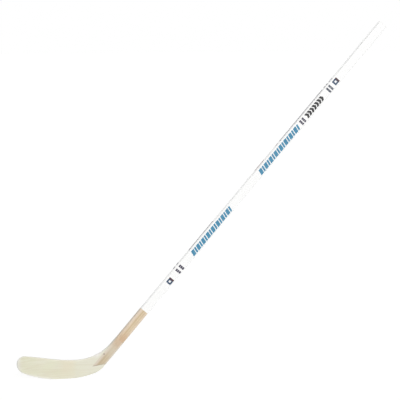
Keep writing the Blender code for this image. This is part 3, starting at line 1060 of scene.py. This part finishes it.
BLUE_INK = ink("blue_ink", srgb(55, 129, 164), srgb(71, 145, 178))
PLUM_INK = ink("plum_ink", srgb(50, 45, 68), srgb(66, 61, 84))
GREY_INK = ink("grey_ink", srgb(70, 76, 90), srgb(86, 92, 104))
RED_INK = ink("red_ink", srgb(96, 30, 38), srgb(112, 40, 46))
BLACK_INK = ink("black_ink", srgb(18, 18, 20), srgb(32, 32, 34))
SLATE_INK = ink("slate_ink", srgb(46, 70, 98), srgb(60, 86, 114))
MAROON_INK = ink("maroon_ink", srgb(66, 36, 42), srgb(80, 46, 52))
print(f"Ink stands {INK_TOP / MM:.2f} mm proud of the lacquer")


# %% Helpers for printing
def bar(bm, low, high, bottom, top, slant=0.0):
    """A bar of ink from low to high up the shaft, and from bottom to top across the front face."""
    made = bmesh.ops.create_cube(bm, size=1)["verts"]
    bmesh.ops.scale(bm, verts=made, vec=(high - low, INK_DEPTH, top - bottom))
    lean = Matrix.Identity(4)
    lean[0][2] = slant
    bmesh.ops.transform(bm, matrix=lean, verts=made)
    middle = ((low + high) / 2, FRONT_FACE + INK_DEPTH / 2 - INK_TOP, (bottom + top) / 2)
    bmesh.ops.translate(bm, verts=made, vec=middle)
    return made


def on_both_faces(bm):
    """Repeats all marks on the back face, turned half round the shaft."""
    copy = only_points(bmesh.ops.duplicate(bm, geom=whole(bm))["geom"])
    bmesh.ops.rotate(bm, verts=copy, cent=(0, 0, 0), matrix=Matrix.Rotation(pi, 3, "X"))


def print_piece(name, bm, look):
    on_both_faces(bm)
    bmesh.ops.transform(bm, matrix=STICK_AXES, verts=bm.verts)
    piece(name, bm, look)


print(f"A mark of ink is {INK_DEPTH / MM:.2f} mm thick")

# %% [markdown]
# ## The blue bars
#
# Two long rows of slanted bars run up the wide sides. A wide bar and a narrow
# one make a pair, and the pair is repeated at an even pitch, so three shares
# of that pitch say where the bars of a pair lie.

# %% Print the blue bars
BLUE_LOW, BLUE_HIGH, SLANT = -11 * MM, 8.2 * MM, 0.3
BLUE_ROWS = ((547 * MM, 752 * MM), (904.5 * MM, 1112 * MM))
PAIRS, WIDE_END, NARROW_START, NARROW_END = 8, 0.51, 0.61, 0.885
blue = bmesh.new()
for low, high in BLUE_ROWS:
    pitch = (high - low) / PAIRS
    for i in range(PAIRS):
        start = low + pitch * i
        bar(blue, start, start + WIDE_END * pitch, BLUE_LOW, BLUE_HIGH, SLANT)
        bar(blue, start + NARROW_START * pitch, start + NARROW_END * pitch, BLUE_LOW, BLUE_HIGH, SLANT)
print_piece("blue_bars", blue, BLUE_INK)

# %% [markdown]
# ## The twin bars
#
# Twin bars stand square across the shaft at three places. Fine gaps split the
# ink of most of them into blocks of equal height. The lowest and the middle
# twins are plum, the highest grey.

# %% Print the twin bars
GAP, PLUM_TOP, PLUM_BLOCKS = 0.75 * MM, 8.7 * MM, 3
PLUM_BARS = ((467.1, 476.1, -11.4), (484.0, 493.6, -11.4), (1121.3, 1129.4, -10.2), (1133.4, 1141.1, -10.2))
GREY_BOTTOM, GREY_TOP = -11.5 * MM, 9.8 * MM
GREY_BARS = ((1264.6, 1271.7, 1), (1276.5, 1283.8, 2))


def split_bar(bm, low, high, bottom, top, blocks):
    """A bar across the face, split in blocks by fine gaps."""
    size = (top - bottom + GAP) / blocks
    for i in range(blocks):
        bar(bm, low, high, bottom + size * i, bottom + size * (i + 1) - GAP)


plum = bmesh.new()
for low, high, bottom in PLUM_BARS:
    split_bar(plum, low * MM, high * MM, bottom * MM, PLUM_TOP, PLUM_BLOCKS)
print_piece("twin_bars", plum, PLUM_INK)

grey = bmesh.new()
for low, high, blocks in GREY_BARS:
    split_bar(grey, low * MM, high * MM, GREY_BOTTOM, GREY_TOP, blocks)
print_piece("grey_twin_bars", grey, GREY_INK)

# %% [markdown]
# ## Pinstripes on the narrow sides
#
# Three thin stripes run along the narrow sides, beside the large marks, and a
# short tick lies beside each bar of the lowest and the highest twins. They are
# made on the front face like all marks, then rolled a quarter turn about the
# shaft's axis and lifted to the narrow side.

# %% Print the pinstripes
STRIPE, STRIPE_STEP, TICK_HALF = 2.6 * MM, 4.8 * MM, 6 * MM
PLUM_STRIPES = ((548, 678), (1029, 1256), (1290, 1308))
RED_STRIPES = ((898, 948), (1008, 1020))


def to_upper_side(bm, marks):
    """Moves marks from the wide front face to the narrow upper side."""
    bmesh.ops.rotate(bm, verts=marks, cent=(0, 0, 0), matrix=Matrix.Rotation(-pi / 2, 3, "X"))
    bmesh.ops.translate(bm, verts=marks, vec=(0, 0, (SHAFT_WIDTH - SHAFT_DEPTH) / 2))


def pinstripes(name, look, stretches):
    """Three stripes side by side on the narrow sides, over each stretch."""
    bm = bmesh.new()
    for low, high in stretches:
        for i in (-1, 0, 1):
            bottom = STRIPE_STEP * i - STRIPE / 2
            to_upper_side(bm, bar(bm, low * MM, high * MM, bottom, bottom + STRIPE))
    print_piece(name, bm, look)


pinstripes("plum_stripes", PLUM_INK, PLUM_STRIPES)
pinstripes("red_stripes", RED_INK, RED_STRIPES)
ticks = bmesh.new()
for low, high, _ in PLUM_BARS[:2] + GREY_BARS:
    to_upper_side(ticks, bar(ticks, low * MM, high * MM, -TICK_HALF, TICK_HALF))
print_piece("side_ticks", ticks, PLUM_INK)

# %% [markdown]
# ## The black chevrons
#
# Seven chevrons point up the shaft at an even pitch. Two sheared bars side by
# side would leave a wall inside. So a chevron is one bar, whose edges across
# the face are cut in the middle and pushed up the shaft there.

# %% Print the black chevrons
CHEVRONS, CHEVRON_START, CHEVRON_PITCH, CHEVRON_WIDTH = 7, 1154.8 * MM, 12.5 * MM, 9.1 * MM
CHEVRON_LOW, CHEVRON_HIGH, CHEVRON_SLANT = -9.6 * MM, 9 * MM, 0.6


def chevron(bm, low, high):
    """A bar that comes to a point at its middle, which lies from low to high up the shaft."""
    push = CHEVRON_SLANT * (CHEVRON_HIGH - CHEVRON_LOW) / 2
    made = bar(bm, low - push, high - push, CHEVRON_LOW, CHEVRON_HIGH)
    edges = [e for e in bm.edges if e.verts[0] in made]
    across = [e for e in edges if abs(e.verts[0].co.z - e.verts[1].co.z) > MM]
    middle = only_points(bmesh.ops.subdivide_edges(bm, edges=across, cuts=1)["geom_inner"])
    bmesh.ops.translate(bm, verts=middle, vec=(push, 0, 0))


black = bmesh.new()
for i in range(CHEVRONS):
    start = CHEVRON_START + CHEVRON_PITCH * i
    chevron(black, start, start + CHEVRON_WIDTH)
print_piece("black_chevrons", black, BLACK_INK)

# %% [markdown]
# ## The frames and their tips
#
# A square frame with a maroon tip over its far side stands at each end of the
# marks. Its middle is inset and taken out. The tip lies a hair higher, as a
# second pass of ink does.

# %% Print the frames, and the tips over their ends
FRAME, FRAME_WALL = 18.9 * MM, 5.9 * MM
FRAMES = ((417.1 * MM, -1.8 * MM), (1295.9 * MM, -0.6 * MM))
TIP, TIP_LAP, TIP_HALF, TIP_LIFT = 5.8 * MM, 3.2 * MM, FRAME / 2, 0.02 * MM


def frame_mark(bm, low, middle):
    """A square frame of ink round an open middle, from low up the shaft."""
    made = bmesh.ops.create_circle(bm, cap_ends=True, segments=4, radius=FRAME / sqrt(2))["verts"]
    bmesh.ops.rotate(bm, verts=made, cent=(0, 0, 0), matrix=Matrix.Rotation(pi / 4, 3, "Z"))
    face = made[0].link_faces[0]
    rim = bmesh.ops.inset_individual(bm, faces=[face], thickness=FRAME_WALL, use_even_offset=True)["faces"]
    bmesh.ops.delete(bm, geom=[face], context="FACES")
    raised = only_points(bmesh.ops.extrude_face_region(bm, geom=rim)["geom"])
    bmesh.ops.translate(bm, verts=raised, vec=(0, 0, INK_DEPTH))
    made = list({v for f in rim for v in f.verts} | set(raised))
    bmesh.ops.rotate(bm, verts=made, cent=(0, 0, 0), matrix=Matrix.Rotation(pi / 2, 3, "X"))
    bmesh.ops.translate(bm, verts=made, vec=(low + FRAME / 2, FRONT_FACE + INK_DEPTH - INK_TOP, middle))


slate = bmesh.new()
maroon = bmesh.new()
for low, middle in FRAMES:
    frame_mark(slate, low, middle)
    tip = low + FRAME - TIP_LAP
    over = bar(maroon, tip, tip + TIP, middle - TIP_HALF, middle + TIP_HALF)
    bmesh.ops.translate(maroon, verts=over, vec=(0, -TIP_LIFT, 0))
print_piece("slate_frames", slate, SLATE_INK)
print_piece("red_tips", maroon, MAROON_INK)
